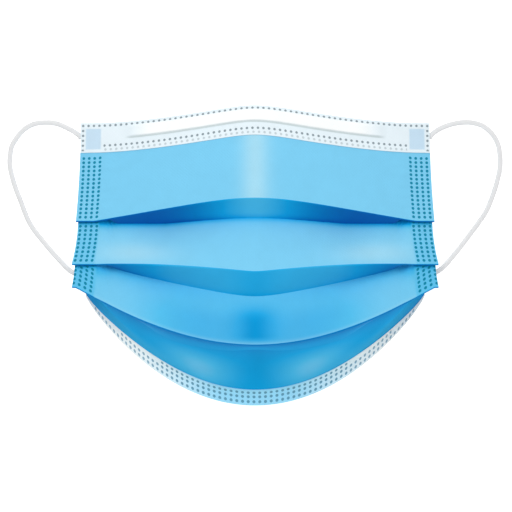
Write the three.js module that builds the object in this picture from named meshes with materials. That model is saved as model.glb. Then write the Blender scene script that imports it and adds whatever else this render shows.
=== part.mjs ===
// A disposable pleated face mask, opened a little into a dome and lying face up on a flat surface.
// Millimetres. +Y runs from the chin to the nose and +Z out of the front. The origin is on the surface,
// under the middle of the mask's outline. The hollow for the face opens downwards.

import * as THREE from "three";

// Cloth, gaps and folds
const CLOTH = 1.1;
const HALF_CLOTH = CLOTH / 2;
const LAYER_GAP = 0.35; // between the layers of a closed pleat
const SEAT_GAP = 0.35; // between two pieces that lie on each other
const FOLD_RADIUS = (CLOTH + LAYER_GAP) / 2;
const FOLD_STEPS = 3;
const PLEAT_STACK = 4 * FOLD_RADIUS; // how far a closed pleat sets the next panel back

// White strips along the nose and chin edges, folded over the body's wall
const BAND_CLOTH = 1.0;
const BAND_INNER = HALF_CLOTH + SEAT_GAP;
const BAND_OUTER = BAND_INNER + BAND_CLOTH;
const BAND_WRAP = SEAT_GAP + BAND_CLOTH; // from the body's raw edge to the outside of the fold
const NOSE_BAND_FRONT = 12.9;
const NOSE_BAND_BACK = 3.0;
const CHIN_BAND_FRONT = { mid: 7.1, side: 4.3, from: 0.15, to: 0.7 };
const CHIN_BAND_BACK = 3.4;
const CHIN_FLAP_STEPS = { front: 5, back: 2 };
const WRAP_TURNS = [45, 0, -45]; // degrees round the fold of a strip, from front to back

// Flat wire in a raised pocket of the nose band
const WIRE = { width: 3.2, thick: 0.8, from_edge: 5.7, half_length: 54 };
const POCKET = { margin: 0.7, flank: 1.0, full_to: 0.77, gone_at: 0.83 };
const POCKET_RISE = WIRE.thick + SEAT_GAP;

// Round elastic and its pressed ends
const ELASTIC = 2.0;
const ELASTIC_SIDES = 8;
const TAB_LENGTH_STEPS = 4;
const TAB_THIN = 1.0;

// How the dome rises from the welded sides to the middle
const DOME = 28; // rise that every layer shares
const WELD_AT = 0.86; // share of the half width where the side weld ends
const INNER_FADE = 1.5; // how early the rise that differs between layers fades towards the weld
const POCKET_OPEN_AT = 0.71; // share of the half width where the pleats stand open
const REST_STRIP = { side: 0.8, mid: 3.2, bend: 5 }; // flat run of the chin edge on the surface

// The lines that show from the front, nose to chin. A line runs from y_side to y_mid: it is level beyond
// `reach`, a share of the half width, and as sharp in the middle as `crest` is small. `slope` is how fast
// the welded side climbs along the panel that ends there, `bow` is how far that panel swells, and `crease`
// is the height of the soft upright crease down the middle, or the depth of a dent there, below 0.
const LINES = [
  { name: "nose", half: 74.4, y_side: 56.3, y_mid: 63.47, z_mid: 34, reach: 0.9, crest: 0.15, power: 1.65,
    crease: 0.6 },
  { name: "first", half: 76.3, y_side: 14.4, y_mid: 24.0, z_mid: 40, reach: 0.9, crest: 0.3, power: 1.1,
    slope: 0.24, bow: 2.0, crease: 0.6 },
  { name: "second", half: 77.7, y_side: -3.7, y_mid: -7.1, z_mid: 42.5, reach: 0.76, crest: 0.05,
    power: 1.95, slope: 0.16, bow: 1.2, crease: 0.4 },
  { name: "third", half: 77.7, y_side: -13.8, y_mid: -38.0, z_mid: 35, reach: 0.98, crest: 4, power: 1.1,
    slope: 0.1, bow: 1.5, crease: -1.4 },
  { name: "chin", half: 71.2, y_side: -17.2, y_mid: -63.5, reach: 0.98, crest: 4, power: 0.75, bow: -1.5,
    crease: -2 },
];
const CREASE_HALF_WIDTH = 7;

// Behind each visible fold the cloth runs back by `depth` to a hidden fold. The strip between them lies
// against the panel at the weld and turns open towards the middle.
const PLEATS = [
  { depth: 11, open_side: 95, open_mid: 138, half: 75.0 },
  { depth: 12.5, open_side: 95, open_mid: 147, half: 76.3 },
  { depth: 11, open_side: 70, open_mid: 105, half: 75.7 },
];

// Columns across the mask, as spans of the half width with the number of steps in each
const COLUMN_SPANS = [
  { to: 0.66, steps: 8 },
  { to: 0.88, steps: 8 },
  { to: 1, steps: 3 },
];

// Steps down a section: the first panel, the other panels that show, and the strips behind them
const PANEL_STEPS = { first: 5, shown: 3, hidden: 1 };

// Loops: where each lies on the surface, from under the nose corner round to the chin corner
const LAID = ELASTIC / 2 + 0.05;
const LOOP_LEFT = [
  [-74.0, 50.0, 1.5], [-75.2, 51.4, LAID], [-78.7, 53.6, LAID], [-84.2, 56.0, LAID], [-88.9, 56.5, LAID],
  [-93.2, 56.1, LAID], [-96.8, 54.6, LAID], [-99.5, 52.3, LAID], [-101.7, 49.5, LAID],
  [-103.4, 46.5, LAID], [-104.1, 42.9, LAID], [-104.3, 38.9, LAID], [-103.6, 34.9, LAID],
  [-102.2, 29.8, LAID], [-100.0, 24.0, LAID], [-95.7, 13.6, LAID], [-89.3, 5.1, LAID],
  [-83.0, -2.1, LAID], [-77.9, -7.8, LAID], [-75.6, -9.9, LAID], [-73.4, -11.5, LAID],
];
const LOOP_RIGHT = [
  [74.0, 50.0, 1.5], [75.0, 51.4, LAID], [78.3, 53.8, LAID], [83.2, 55.7, LAID], [88.7, 56.6, LAID],
  [93.4, 56.2, LAID], [97.0, 54.9, LAID], [100.6, 51.7, LAID], [103.0, 47.6, LAID], [104.0, 42.2, LAID],
  [104.0, 37.4, LAID], [103.0, 32.4, LAID], [101.4, 27.0, LAID], [98.4, 19.4, LAID], [94.9, 14.0, LAID],
  [89.6, 6.9, LAID], [83.6, -0.7, LAID], [78.3, -7.0, LAID], [75.6, -9.9, LAID], [73.4, -11.5, LAID],
];
const LOOP_STEPS = 36;

// Pressed ends of the elastic on the inner face. `edge` is the edge that `along` is measured from; the
// tab runs from a round end under the side of the mask to a wide flat end nearer the middle.
const TABS = {
  top: {
    edge: "nose",
    round: { share: 0.98, along: 6.4, width: ELASTIC, thick: ELASTIC },
    flat: { share: 0.885, along: 8.4, width: 5, thick: TAB_THIN },
  },
  bottom: {
    edge: "chin",
    round: { share: 0.96, along: 7.8, width: ELASTIC, thick: ELASTIC },
    flat: { share: 0.87, along: 11.4, width: 5, thick: TAB_THIN },
  },
};
const TAB_CORNERS = { round: 0.414, flat: 0.8 };

const FINISH = {
  cloth: { color: 0x7fc4ea, roughness: 0.85, metalness: 0 },
  white: { color: 0xeef5f8, roughness: 0.8, metalness: 0 },
  wire: { color: 0xf2f2f0, roughness: 0.5, metalness: 0 },
  elastic: { color: 0xe9e9ea, roughness: 0.75, metalness: 0 },
};

function mix(a, b, t) {
  return a + (b - a) * t;
}

function smooth(from, to, value) {
  const t = Math.min(Math.max((value - from) / (to - from), 0), 1);
  return t * t * (3 - 2 * t);
}

function columnShares() {
  const shares = [0];
  for (const { to, steps } of COLUMN_SPANS) {
    const from = shares[shares.length - 1];
    for (let i = 1; i <= steps; i += 1) {
      shares.push(mix(from, to, i / steps));
    }
  }
  const mirrored = shares.slice(1).reverse().map((share) => -share);
  return [...mirrored, ...shares];
}

// Height of a line's curve at a share u of the half width: 0 at the side, 1 in the middle
function rise(u, { reach, crest, power }) {
  const across = Math.min(Math.abs(u) / reach, 1);
  const rim = Math.hypot(1, crest);
  return ((rim - Math.hypot(across, crest)) / (rim - crest)) ** power;
}

function lineY(line, u) {
  return mix(line.y_side, line.y_mid, rise(u, line));
}

// Heights of the middle of the cloth at the visible lines: the welded sides are a flat stack of layers
function lineHeights(u) {
  const shared = DOME * (1 - u * u);
  const inner = Math.max(1 - (u / WELD_AT) ** 2, 0) ** INNER_FADE;
  const heights = [];
  let stack = BAND_OUTER;
  let stack_mid = BAND_OUTER;
  for (let i = 0; i < LINES.length - 1; i += 1) {
    if (i > 0) {
      const behind = i > 1 ? PLEAT_STACK : 0;
      stack += LINES[i].slope * (lineY(LINES[i - 1], u) - lineY(LINES[i], u)) - behind;
      stack_mid += LINES[i].slope * (LINES[i - 1].y_mid - LINES[i].y_mid) - behind;
    }
    const extra = LINES[i].z_mid - stack_mid - DOME;
    heights.push(stack + shared + extra * inner + LINES[i].crease * creaseShare(u));
  }
  return heights;
}

function creaseShare(u) {
  const across = (u * LINES[0].half) / CREASE_HALF_WIDTH;
  return Math.exp(-across * across);
}

function openAngle(pleat, u) {
  const share = Math.abs(u) / POCKET_OPEN_AT;
  const open = mix(pleat.open_side, pleat.open_mid, Math.max(1 - share * share, 0));
  return THREE.MathUtils.degToRad(open * smooth(WELD_AT, POCKET_OPEN_AT, Math.abs(u)));
}

// A section is a belt in the Y-Z plane round rollers { y, z, radius, half }. The radius is above 0 where
// the roller is behind the cloth and below 0 where it is in front.
function heading(from, to) {
  const dy = to.y - from.y;
  const dz = to.z - from.z;
  return Math.atan2(dz, dy) + Math.asin((from.radius - to.radius) / Math.hypot(dy, dz));
}

function frontNormal(angle) {
  return { y: Math.sin(angle), z: -Math.cos(angle) };
}

function rollers(u) {
  const heights = lineHeights(u);
  const inset = FOLD_RADIUS + HALF_CLOTH;
  const list = [{ y: lineY(LINES[0], u) - BAND_WRAP, z: heights[0], radius: 0, half: LINES[0].half }];
  PLEATS.forEach((pleat, i) => {
    const line = LINES[i + 1];
    const fold = {
      y: lineY(line, u) + inset,
      z: heights[i + 1] - FOLD_RADIUS,
      radius: FOLD_RADIUS,
      half: line.half,
      bow: line.bow * (1 - u * u),
    };
    const along = heading(list[list.length - 1], fold);
    const front = frontNormal(along);
    const open = openAngle(pleat, u);
    const up = pleat.depth * Math.cos(open);
    const back = pleat.depth * Math.sin(open) + 2 * FOLD_RADIUS;
    list.push(fold, {
      y: fold.y - up * Math.cos(along) - back * front.y,
      z: fold.z - up * Math.sin(along) - back * front.z,
      radius: -FOLD_RADIUS,
      half: pleat.half,
      bow: 0,
    });
  });
  const chin = LINES[LINES.length - 1];
  const end = lineY(chin, u) + BAND_WRAP;
  const run = mix(REST_STRIP.mid, REST_STRIP.side, u * u);
  list.push({
    y: end + run,
    z: BAND_OUTER + REST_STRIP.bend,
    radius: -REST_STRIP.bend,
    half: chin.half,
    bow: chin.bow * (1 - u * u) + chin.crease * creaseShare(u),
  });
  list.push({ y: end, z: BAND_OUTER, radius: 0, half: chin.half, bow: 0 });
  return list;
}

// Middle of the cloth at a share u of the half width, as points { x, y, z, ny, nz } from nose to chin
function centreLine(u) {
  const list = rollers(u);
  const points = [];
  function add(y, z, angle, half) {
    const front = frontNormal(angle);
    points.push({ x: u * half, y, z, ny: front.y, nz: front.z });
  }
  let leaving = heading(list[0], list[1]);
  add(list[0].y, list[0].z, leaving, list[0].half);
  for (let i = 1; i < list.length; i += 1) {
    const from = list[i - 1];
    const to = list[i];
    const front = frontNormal(leaving);
    const start = { y: from.y + from.radius * front.y, z: from.z + from.radius * front.z };
    const stop = { y: to.y + to.radius * front.y, z: to.z + to.radius * front.z };
    const length = Math.hypot(stop.y - start.y, stop.z - start.z);
    const steps = panelSteps(i);
    for (let k = 1; k < steps; k += 1) {
      const t = k / steps;
      const swell = to.bow * 4 * t * (1 - t);
      const turn = Math.atan2(to.bow * 4 * (1 - 2 * t), length);
      add(
        mix(start.y, stop.y, t) + swell * front.y,
        mix(start.z, stop.z, t) + swell * front.z,
        leaving - turn,
        mix(from.half, to.half, t * t),
      );
    }
    if (i === list.length - 1) {
      add(stop.y, stop.z, leaving, to.half);
      break;
    }
    const next = heading(to, list[i + 1]);
    const turned = turnRound(to.radius, next - leaving);
    for (let k = 0; k <= FOLD_STEPS; k += 1) {
      const angle = leaving + (turned * k) / FOLD_STEPS;
      const normal = frontNormal(angle);
      add(to.y + to.radius * normal.y, to.z + to.radius * normal.z, angle, to.half);
    }
    leaving += turned;
  }
  return points;
}

// Cloth turns one way round a roller behind it and the other way round a roller in front of it
function turnRound(radius, angle) {
  const quarter = Math.sign(radius) * (Math.PI / 2);
  const rest = angle - quarter;
  return quarter + Math.atan2(Math.sin(rest), Math.cos(rest));
}

// Steps along the straight run that ends at roller i of a section: odd ones end the panels that show
function panelSteps(i) {
  if (i === 1) {
    return PANEL_STEPS.first;
  }
  return i % 2 === 1 ? PANEL_STEPS.shown : PANEL_STEPS.hidden;
}

const SHARES = columnShares();
const COLUMNS = SHARES.map(centreLine);

// Closed solid through rings of [x, y, z] points that run along +X. A ring goes along one face of a wall
// and back along the other, so point i lies opposite point size - 1 - i.
function loft(rings) {
  const size = rings[0].length;
  const index = [];
  for (let r = 0; r < rings.length - 1; r += 1) {
    for (let i = 0; i < size; i += 1) {
      const a = r * size + i;
      const b = r * size + ((i + 1) % size);
      index.push(a, b, a + size, b, b + size, a + size);
    }
  }
  const last = (rings.length - 1) * size;
  for (let i = 0; i < size / 2 - 1; i += 1) {
    const [a, b, c, d] = [i, i + 1, size - 2 - i, size - 1 - i];
    index.push(a, c, b, a, d, c);
    index.push(last + a, last + b, last + c, last + a, last + c, last + d);
  }
  const geometry = new THREE.BufferGeometry();
  geometry.setAttribute("position", new THREE.Float32BufferAttribute(rings.flat(2), 3));
  geometry.setIndex(index);
  return geometry;
}

// The body's wall: half the cloth on each side of its middle
function bodyRing(column) {
  const front = column.map(({ x, y, z, ny, nz }) => [x, y + ny * HALF_CLOTH, z + nz * HALF_CLOTH]);
  const back = column.map(({ x, y, z, ny, nz }) => [x, y - ny * HALF_CLOTH, z - nz * HALF_CLOTH]);
  return [...front, ...back.reverse()];
}

// A place on the cloth of a column that starts at the edge in question: `along` mm from the outside of
// the white strip's fold, `out` mm in front of the middle of the cloth
function place(column, [along, out]) {
  let from = column[0];
  let to = column[1];
  let t = (along - BAND_WRAP) / span(from, to);
  for (let i = 2; t > 1 && i < column.length; i += 1) {
    const left = (t - 1) * span(from, to);
    from = to;
    to = column[i];
    t = left / span(from, to);
  }
  const inside = Math.max(t, 0);
  return [
    mix(from.x, to.x, inside),
    mix(from.y, to.y, t) + out * mix(from.ny, to.ny, inside),
    mix(from.z, to.z, t) + out * mix(from.nz, to.nz, inside),
  ];
}

function span(from, to) {
  return Math.hypot(to.y - from.y, to.z - from.z);
}

// Section of a white strip folded over an edge: its outside from the front flap round the fold to the back
// flap, then its inside back again. `front` and `back` hold the flaps as [along, pocket rise].
function bandSection(front, back) {
  const fold = WRAP_TURNS.map((degrees) => THREE.MathUtils.degToRad(degrees));
  const outside = [
    ...front.map(([along, up]) => [along, BAND_OUTER + up]),
    [BAND_WRAP, BAND_OUTER],
    ...fold.map((turn) => [BAND_WRAP * (1 - Math.cos(turn)), BAND_OUTER * Math.sin(turn)]),
    [BAND_WRAP, -BAND_OUTER],
    ...back.map((along) => [along, -BAND_OUTER]),
  ];
  const inside = [
    ...front.map(([along, up]) => [along, BAND_INNER + up]),
    [BAND_CLOTH, BAND_INNER],
    ...fold.map((turn) => [BAND_CLOTH, BAND_INNER * Math.sin(turn)]),
    [BAND_CLOTH, -BAND_INNER],
    ...back.map((along) => [along, -BAND_INNER]),
  ];
  return [...outside, ...inside.reverse()];
}

function noseBand() {
  const half = WIRE.width / 2 + POCKET.margin;
  const rings = COLUMNS.map((column, i) => {
    const rise = POCKET_RISE * (1 - smooth(POCKET.full_to, POCKET.gone_at, Math.abs(SHARES[i])));
    const front = [
      [NOSE_BAND_FRONT, 0],
      [WIRE.from_edge + half + POCKET.flank, 0],
      [WIRE.from_edge + half, rise],
      [WIRE.from_edge - half, rise],
      [WIRE.from_edge - half - POCKET.flank, 0],
    ];
    const section = bandSection(front, [NOSE_BAND_BACK]);
    return section.map((spot) => place(column, spot)).reverse();
  });
  return loft(rings);
}

// The chin strip lies on the bend of the cloth, so its flaps follow it in short steps. Its front flap
// narrows towards the sides.
function chinBand() {
  const { mid, side, from, to } = CHIN_BAND_FRONT;
  const back = steps(BAND_WRAP, CHIN_BAND_BACK, CHIN_FLAP_STEPS.back).slice(1);
  const rings = COLUMNS.map((column, i) => {
    const width = mix(mid, side, smooth(from, to, Math.abs(SHARES[i])));
    const front = steps(width, BAND_WRAP, CHIN_FLAP_STEPS.front).slice(0, -1);
    const section = bandSection(front.map((along) => [along, 0]), back);
    const fromChin = column.slice().reverse();
    return section.map((spot) => place(fromChin, spot));
  });
  return loft(rings);
}

function steps(from, to, count) {
  return Array.from({ length: count + 1 }, (_, i) => mix(from, to, i / count));
}

function noseWire() {
  const end = WIRE.half_length / LINES[0].half;
  const shares = [-end, ...SHARES.filter((share) => Math.abs(share) < end), end];
  const near = WIRE.from_edge - WIRE.width / 2;
  const far = WIRE.from_edge + WIRE.width / 2;
  const top = BAND_INNER + WIRE.thick;
  const section = [[near, top], [far, top], [far, BAND_INNER], [near, BAND_INNER]];
  return loft(shares.map((share) => section.map((spot) => place(centreLine(share), spot))));
}

function earLoop(points) {
  const corners = steps(0.5, ELASTIC_SIDES - 0.5, ELASTIC_SIDES - 1).map((corner) => {
    const turn = (2 * Math.PI * corner) / ELASTIC_SIDES;
    return new THREE.Vector2((ELASTIC / 2) * Math.cos(turn), (ELASTIC / 2) * Math.sin(turn));
  });
  const extrudePath = new THREE.CatmullRomCurve3(points.map((point) => new THREE.Vector3(...point)));
  return new THREE.ExtrudeGeometry(new THREE.Shape(corners), {
    steps: LOOP_STEPS,
    bevelEnabled: false,
    extrudePath,
  });
}

function loopTab({ edge, round, flat }, side) {
  const rings = steps(0, 1, TAB_LENGTH_STEPS).map((t) => {
    const share = side * mix(round.share, flat.share, t);
    const column = centreLine(share);
    const along = mix(round.along, flat.along, t);
    const half = mix(round.width, flat.width, t) / 2;
    const depth = mix(round.thick, flat.thick, t) / 2;
    const corner = mix(TAB_CORNERS.round, TAB_CORNERS.flat, t);
    const spots = [
      [-1, corner], [-corner, 1], [corner, 1], [1, corner],
      [1, -corner], [corner, -1], [-corner, -1], [-1, -corner],
    ].map(([across, up]) => [along + across * half, -BAND_INNER - depth + up * depth]);
    if (edge === "nose") return spots.map((spot) => place(column, spot));
    return spots.map((spot) => place(column.slice().reverse(), spot)).reverse();
  });
  return loft(side < 0 ? rings : rings.reverse());
}

const mask = new THREE.Group();

function addPiece(name, geometry, finish) {
  const mesh = new THREE.Mesh(geometry, new THREE.MeshStandardMaterial(finish));
  mesh.name = name;
  mask.add(mesh);
}

addPiece("pleated_body", loft(COLUMNS.map(bodyRing)), FINISH.cloth);
addPiece("nose_band", noseBand(), FINISH.white);
addPiece("nose_wire", noseWire(), FINISH.wire);
addPiece("chin_band", chinBand(), FINISH.white);
addPiece("ear_loop_left", earLoop(LOOP_LEFT), FINISH.elastic);
addPiece("ear_loop_right", earLoop(LOOP_RIGHT), FINISH.elastic);
for (const [row, tab] of Object.entries(TABS)) {
  addPiece(`loop_tab_${row}_left`, loopTab(tab, -1), FINISH.elastic);
  addPiece(`loop_tab_${row}_right`, loopTab(tab, 1), FINISH.elastic);
}

export default mask;
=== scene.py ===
"""A disposable pleated face mask lying face up on a pale floor."""

import math
from types import SimpleNamespace as Row

import bpy
import numpy as np
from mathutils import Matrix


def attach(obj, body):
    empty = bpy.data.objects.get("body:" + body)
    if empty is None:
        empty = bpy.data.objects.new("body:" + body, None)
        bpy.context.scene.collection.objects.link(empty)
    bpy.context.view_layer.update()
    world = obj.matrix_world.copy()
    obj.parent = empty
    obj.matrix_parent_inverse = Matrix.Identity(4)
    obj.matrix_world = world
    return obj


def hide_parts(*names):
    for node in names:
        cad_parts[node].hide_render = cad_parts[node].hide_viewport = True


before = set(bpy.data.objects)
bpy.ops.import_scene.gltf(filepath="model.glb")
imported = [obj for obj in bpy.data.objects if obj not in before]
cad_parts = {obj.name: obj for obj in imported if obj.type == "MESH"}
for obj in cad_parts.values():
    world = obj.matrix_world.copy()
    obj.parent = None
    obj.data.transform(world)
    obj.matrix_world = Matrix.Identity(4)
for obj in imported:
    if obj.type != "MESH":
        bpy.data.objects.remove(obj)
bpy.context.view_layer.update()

MM = 0.001
TURN = 2 * math.pi
# The cloth's UV unit in millimetres, and the most of it that lies behind a fold
UV_UNIT = 100
BEHIND_MOST = 0.3

# Camera: straight above, at the photograph's framing, in metres
DISTANCE = 4.0
VIEW_WIDTH = 0.2176
AIM = (0.00034, -0.0002)
SENSOR = 36

# Floor, world and lights, in metres and watts
FLOOR = Row(z=-0.00005, reach=6.0, grey=0.9, roughness=0.9, glow=0.55)
WORLD_LIGHT = 0.56
LIGHT_AIM = (0, 0, 0.02)
LIGHTS = (
    Row(name="key", where=(-0.2, 0.62, 1.25), size=0.8, power=9.8),
    Row(name="fill", where=(0.4, -0.7, 1.1), size=0.9, power=3.5),
)

# All tables from here to the ear loops are in millimetres. A share is a part of the half width.

# Body cloth, its folds, and its dome on the stack of cloth at the sides
CLOTH = 0.5
HALF_CLOTH = CLOTH / 2
CAD_HALF_CLOTH = 0.55
FOLD_RADIUS = 0.36
# From the end of a panel's flat part to the outside of its fold
FOLD_REACH = 0.4
PLEAT_STACK = 4 * FOLD_RADIUS
STACK_BASE = 1.35
DOME = 28
INNER_FADE = 1.5
CREASE_HALF_WIDTH = 7

# Shares where the side weld and its full painted shade begin, and where the pleats open and deepen
WELD_AT = 0.872
WELD_PAINTED_SHADE_AT = 0.886
POCKET_OPEN_AT = 0.78
PLEAT_TAPER = Row(side=0.3, side_at=0.84, full_at=0.45)
OPEN_COSINE_CAP = 0.95

# The lines that show from the front, nose to chin, as in the part's source
LINES = (
    Row(half=74.1, y_side=56.3, y_mid=63.47, z_mid=34, reach=0.9, crest=0.15, power=1.65,
        crease=0.6),
    Row(half=76.0, y_side=14.1, y_mid=23.75, z_mid=40, reach=0.9, crest=0.3, power=1.1,
        slope=0.24, bow=2.0, crease=0.6),
    Row(half=77.7, y_side=-4.15, y_mid=-7.35, z_mid=42.5, reach=0.76, crest=0.05, power=1.95,
        slope=0.16, bow=1.2, crease=0.4),
    Row(half=77.7, y_side=-13.8, y_mid=-38.0, z_mid=35, reach=0.98, crest=4, power=1.08,
        slope=0.1, bow=1.5, crease=-1.4),
    Row(half=72.0, y_side=-17.2, y_mid=-63.75, reach=1.0, crest=2, power=0.85,
        bow=-1.5, crease=-2),
)
NOSE_HALF = LINES[0].half
# Behind each visible fold: the strip's depth and half width, and the line where the next panel
# begins below it, or the angle that the strip opens to where the next panel stays hidden
PLEATS = (
    Row(depth=11, half=75.0,
        below=Row(y_side=13.4, y_mid=15.8, reach=0.5, crest=0.3, power=1)),
    Row(depth=12.5, half=76.3,
        below=Row(y_side=-5.4, y_mid=-17.3, reach=0.78, crest=0.15, power=0.85)),
    Row(depth=11, half=75.7, open_side=70, open_mid=105),
)
# The bit of the chin panel that lies flat on the floor, and the bend before it
REST_STRIP = Row(side=3.4, mid=3.2, bend=5)

# Rows down a section: panels and the strips between them, nose to chin, and round each fold
RUN_ROWS = (88, 9, 58, 9, 44, 9, 40, 5)
ARC_ROWS = 5
BODY_COLUMNS = Row(middle=82, weld=27, weld_from=0.86)

# Weld dots down the sides: shares for the columns, millimetres in a share, and the rows' pitch
DOTS = Row(first=0.978, step=0.008, pitch=0.0314, columns=4, share=76, row=1.83, last_row=15,
           radius=0.63, inner=0.25, outer=0.2, depth=0.17)
# Rows of pressed dots on the first panels, and the part of their depth that shows inside
DOT_ROWS = (15, 9, 6)
INNER_DENT = 0.5

# Waves of the body: radians to a millimetre across and along, phase and height
WAVES = (
    (0.11, 0.05, 0.4, 0.16),
    (0.23, -0.12, 1.9, 0.10),
    (0.07, 0.19, 4.1, 0.12),
    (0.41, 0.31, 2.6, 0.05),
)
# Puckers beside the weld, which wander from column to column
PUCKER = Row(height=0.12, at=0.84, spread=0.04, pitch=4.4, wander=2, every=9)
# Where they begin: share, and distance from the nose, the chin and, for puckers, each fold
WAVE_FROM = Row(side=(0.99, 0.8), nose=(13, 18), chin=(8, 12), fold=(0, 3))

# White strips. Rows is the number of points on the front and on the back, flat is in metres.
BAND_CLOTH = 0.35
BAND_GAP = 0.05
BAND_INNER = HALF_CLOTH + BAND_GAP
BAND_OUTER = BAND_INNER + BAND_CLOTH
BAND_WRAP = BAND_GAP + BAND_CLOTH
BAND_COLUMNS = 441
BAND_TURN_ROWS = 9
NOSE_BAND = Row(front=13.25, back=3.0, rows=(46, 8), flat=(0.175, 0.019))
CHIN_BAND = Row(front=7.4, side=1.2, power=4, back=3.4, rows=(28, 8), flat=(0.175, 0.0105))
CHIN_SECTION_ROWS = 60
# Shares where the chin strip turns white, and where it is the full blue of the middle
CHIN_WHITE_AT = 0.82
CHIN_BLUE_AT = 0.14

# Rows of weld dots: distance from the edge, reach across, pitch, shift in pitches and strength
NOSE_ROWS = (
    (1.5, 74.2, 2.319, 0.5, 1.0),
    (10.3, 64.2, 2.319, 0.5, 1.0),
    (12.05, 64.2, 2.319, 0.31, 0.45),
)
CHIN_ROWS = (
    (5.75, 43, 2.446, 0.21, 1.0),
    (3.7, 66, 2.446, 0.21, 1.0),
    (1.6, 82, 2.446, 0.21, 1.0),
)
NOSE_COLUMN = Row(x=73.05, pitch=2.17, low=0.6, high=12.6)
NOSE_DOT_RADIUS = 0.54
CHIN_DOT_RADIUS = 0.66
DENT = Row(full=0.25, gone=0.6, depth=0.14)
# The pressed patch beside each end of the nose strip, and the ripple below the wire
PATCH = Row(x=(65.1, 65.6, 71.6, 72.0), y=(2.6, 3.1, 11.6, 12.1), depth=0.1)
RIPPLE = Row(height=0.05, pitch=4.6, at=9.3, spread=1.6)
WIRE = Row(width=3.2, thick=0.8, from_edge=4.95, half_length=51, square=0.5,
           columns=161, sides=16)
# The wire's pocket: its form, then the painted shadow line below it and the shares where
# its painted highlight fades
POCKET = Row(rise=1.05, margin=0.3, full_to=0.7, gone_at=0.755, upper_flank=1.8, lower_flank=0.6,
             line=0.34, white_to=0.58, white_gone=0.74)

# Ear loops: the route of the elastic in metres, from the nose corner round to the chin corner
ELASTIC = 0.002
ELASTIC_WIDEN = 1.15
LAID = 0.00105
LOOP_LEFT = (
    (-0.0740, 0.0500, 0.0015), (-0.0752, 0.0514, LAID), (-0.0787, 0.0536, LAID),
    (-0.0842, 0.0560, LAID), (-0.0889, 0.0565, LAID), (-0.0932, 0.0561, LAID),
    (-0.0968, 0.0546, LAID), (-0.0995, 0.0523, LAID), (-0.1017, 0.0495, LAID),
    (-0.1034, 0.0465, LAID), (-0.1041, 0.0429, LAID), (-0.1043, 0.0389, LAID),
    (-0.1036, 0.0349, LAID), (-0.1022, 0.0298, LAID), (-0.1000, 0.0240, LAID),
    (-0.0957, 0.0136, LAID), (-0.0893, 0.0051, LAID), (-0.0830, -0.0021, LAID),
    (-0.0782, -0.0067, LAID), (-0.0724, -0.0091, LAID), (-0.0690, -0.0128, LAID),
    (-0.0670, -0.0170, 0.0014),
)
LOOP_RIGHT = (
    (0.0740, 0.0500, 0.0015), (0.0750, 0.0514, LAID), (0.0783, 0.0538, LAID),
    (0.0832, 0.0557, LAID), (0.0887, 0.0566, LAID), (0.0934, 0.0562, LAID),
    (0.0970, 0.0549, LAID), (0.1006, 0.0517, LAID), (0.1030, 0.0476, LAID),
    (0.1040, 0.0422, LAID), (0.1040, 0.0374, LAID), (0.1030, 0.0324, LAID),
    (0.1014, 0.0270, LAID), (0.0984, 0.0194, LAID), (0.0949, 0.0140, LAID),
    (0.0896, 0.0069, LAID), (0.0836, -0.0007, LAID), (0.0786, -0.0060, LAID),
    (0.0724, -0.0091, LAID), (0.0690, -0.0128, LAID), (0.0670, -0.0170, 0.0014),
)
LOOP_POINTS = 340
LOOP_SIDES = 20
SPAN_POINTS = 24
# The knit: strands round the elastic and their pitch in millimetres, in the mesh and in the look
KNIT = Row(strands=5, pitch=1.8, depth=0.035)
KNIT_LOOK = Row(strands=8, pitch=0.9)

# The pressed ends of the elastic: shares, and millimetres from the edge of the strip
TABS = (
    Row(corner="top", edge="nose", share=(0.98, 0.885), along=(6.4, 8.4)),
    Row(corner="bottom", edge="chin", share=(0.93, 0.85), along=(7.8, 11.4)),
)
TAB = Row(width=5.0, thick=0.55, round_thick=0.85, square=0.45, pressed=(0.15, 0.6), length=8,
          rings=30, sides=28, section_rows=90)
TAB_RELIEF = Row(ribs=9, rib=0.04, press=0.06, across=14, along=40)

# Painted shade and painted highlight of the blue, 0 to 1, by the place across (x), below the fold
# above (drop) and above the next fold (v). Pairs are the middle and width of a spot, or where a
# change begins and ends.
CREASE_PAINTED_HIGHLIGHT = 5.5
SECOND_PANEL_PAINTED_LIGHT = Row(shade=(0.5, 0.7), shade_x=(12, 52), depth=1.2,
                  spot=0.75, spot_x=(50, 16), spot_v=(5, 5))
THIRD_PANEL_PAINTED_LIGHT = Row(shade=(0.3, 0.07), shade_x=(20, 58), low=0.12, low_x=(24, 18), low_drop=(5, 14),
                 under=0.5, under_x=(30, 62), depth=2.4,
                 streak=0.22, streak_x=8, streak_drop=(0, 10), streak_v=(0.3, 4),
                 soft=0.08, soft_x=20, soft_drop=(3, 12),
                 lit=0.06, lit_middle=0.08, lit_x=(50, 15), rim=0.25, rim_v=(2.2, 0))
CHIN_PANEL_PAINTED_SHADE = Row(shade=0.52, lobe=0.39, lobe_x=(24, 13), lobe_v=(15, 11),
                low=0.21, low_x=(28, 44), low_v=(16, 4), under=0.3, depth=2.5)
# Painted shade on the pressed weld, and a painted shadow in a rim under each fold
WELD_PAINTED_SHADE = Row(panel=0.08, rim=0.85, depth=0.7)
# Painted shade on the strips behind the three folds. The foot is where the next panel begins.
HIDDEN_STRIP_PAINTED_SHADE = (
    Row(shade=0.25, side=0.75, side_x=(2, 46), power=0.6, foot=0.25),
    Row(shade=0.38, middle=0.08, middle_x=9, side=0.45, side_x=(30, 62), foot=0.1),
    Row(shade=0.58, top=0.24),
)
FOOT_DEPTH = 1.3
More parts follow.
